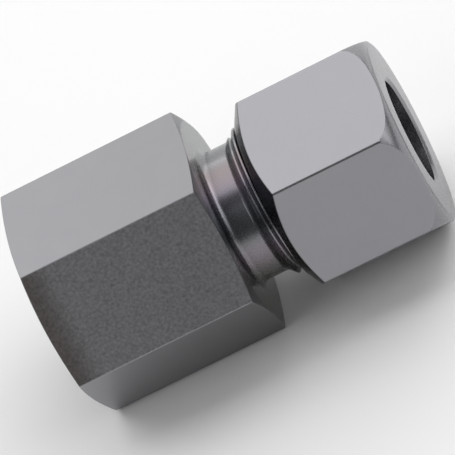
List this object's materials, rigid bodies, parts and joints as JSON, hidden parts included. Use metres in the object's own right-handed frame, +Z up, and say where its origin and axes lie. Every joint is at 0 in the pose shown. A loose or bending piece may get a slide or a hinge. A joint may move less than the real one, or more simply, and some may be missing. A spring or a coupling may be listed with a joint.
{
  "type": "straight compression tube coupling",
  "caption": "Hexagon-bodied straight coupling: female pipe thread at one end, union nut and cutting ring for a plain tube at the other.",
  "frame": {"origin": "on the table, below the middle of the fitting's length and width", "axes": "+X along the fitting's axis from the female thread to the tube's end, +Z up, one flat of the body on top"},
  "size_m": [0.045, 0.0278, 0.0247],
  "materials": {
    "plated_body": "zinc plated, matt",
    "plated_ring": "zinc plated, hardened",
    "plated_nut": "zinc plated, satin"
  },
  "bodies": {
    "body": {"fitting_body": "plated_body"},
    "ring": {"cutting_ring": "plated_ring"},
    "nut": {"union_nut": "plated_nut"}
  },
  "joints": [
    {"name": "ring_slide", "type": "slide", "parent": "body", "child": "ring", "axis": [1, 0, 0], "range_m": [0, 0.006]},
    {"name": "nut_turn", "type": "hinge", "parent": "ring", "child": "nut", "pos_m": [0.01887, 0, 0.01237], "axis": [1, 0, 0], "range_deg": [0, 1440]}
  ],
  "couplings": [
    {"joint": "ring_slide", "follows": "nut_turn", "m_per_rad": 0.00023873}
  ]
}
